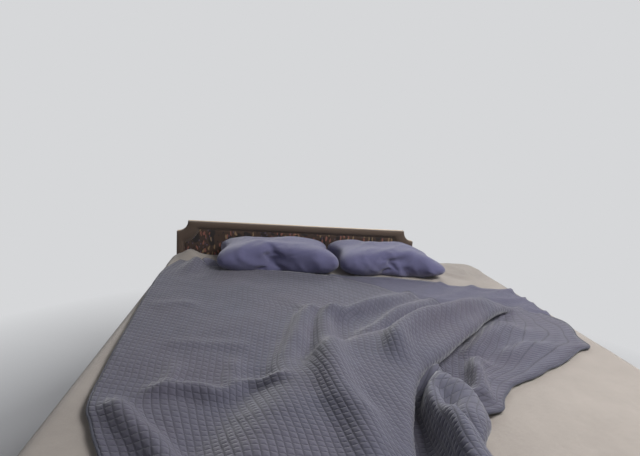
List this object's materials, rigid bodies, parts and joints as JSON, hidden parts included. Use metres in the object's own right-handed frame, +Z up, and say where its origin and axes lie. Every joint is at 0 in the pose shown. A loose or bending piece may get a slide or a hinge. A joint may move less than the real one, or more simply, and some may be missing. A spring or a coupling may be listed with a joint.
{
  "type": "motorhome bed",
  "caption": "Built-in motorhome bed: base cabinet with two foot drawers, mattress, rumpled quilt, two pillows and a low padded headboard with scooped corners.",
  "frame": {"origin": "on the floor, at the centre of the four floor screws, under the middle of the mattress", "axes": "+X across the bed, to the right as seen from its foot; +Y towards the headboard; +Z up"},
  "size_m": [1.57, 2.026, 0.822],
  "materials": {
    "plywood": "sanded plywood",
    "cherry": "satin lacquer",
    "steel": "satin",
    "taupe_fabric": "soft weave",
    "patterned_fabric": "printed upholstery weave",
    "mattress_cover": "woven ticking",
    "white_cotton": "plain cotton",
    "blue_cotton": "plain cotton",
    "quilted_cotton": "quilted cotton"
  },
  "bodies": {
    "bed": {"plinth_side_left": "plywood", "plinth_side_right": "plywood", "plinth_foot": "plywood", "plinth_head": "plywood", "floor_brackets_left": "steel", "floor_brackets_right": "steel", "bottom_board": "plywood", "side_panel_left": "cherry", "side_panel_right": "cherry", "head_panel": "plywood", "centre_divider": "plywood", "bulkhead_left": "plywood", "bulkhead_right": "plywood", "deck_cleat_left": "plywood", "deck_cleat_right": "plywood", "corner_post_left": "cherry", "corner_post_right": "cherry", "frame_top_rail": "cherry", "frame_bottom_rail": "cherry", "frame_mullion": "cherry", "deck_left": "plywood", "deck_right": "plywood", "deck_nosing": "cherry", "outer_bearer_left": "plywood", "outer_bearer_right": "plywood", "inner_bearer_left": "plywood", "inner_bearer_right": "plywood", "headboard_backing": "plywood", "headboard_border": "taupe_fabric", "headboard_insert": "patterned_fabric", "headboard_struts": "plywood", "mattress": "mattress_cover", "fitted_sheet": "white_cotton", "top_sheet": "blue_cotton", "quilt": "quilted_cotton", "pillow_left": "blue_cotton", "pillow_right": "blue_cotton", "drawer_runners_left": "steel", "drawer_runners_right": "steel"},
    "drawer_left": {"drawer_box_left": "plywood", "drawer_bottom_left": "plywood", "drawer_front_left": "cherry", "drawer_handle_left": "steel", "drawer_sliders_left": "steel"},
    "drawer_right": {"drawer_box_right": "plywood", "drawer_bottom_right": "plywood", "drawer_front_right": "cherry", "drawer_handle_right": "steel", "drawer_sliders_right": "steel"}
  },
  "joints": [
    {"name": "drawer_left_slide", "type": "slide", "parent": "bed", "child": "drawer_left", "axis": [0, -1, 0], "range_m": [0, 0.42]},
    {"name": "drawer_right_slide", "type": "slide", "parent": "bed", "child": "drawer_right", "axis": [0, -1, 0], "range_m": [0, 0.42]}
  ]
}
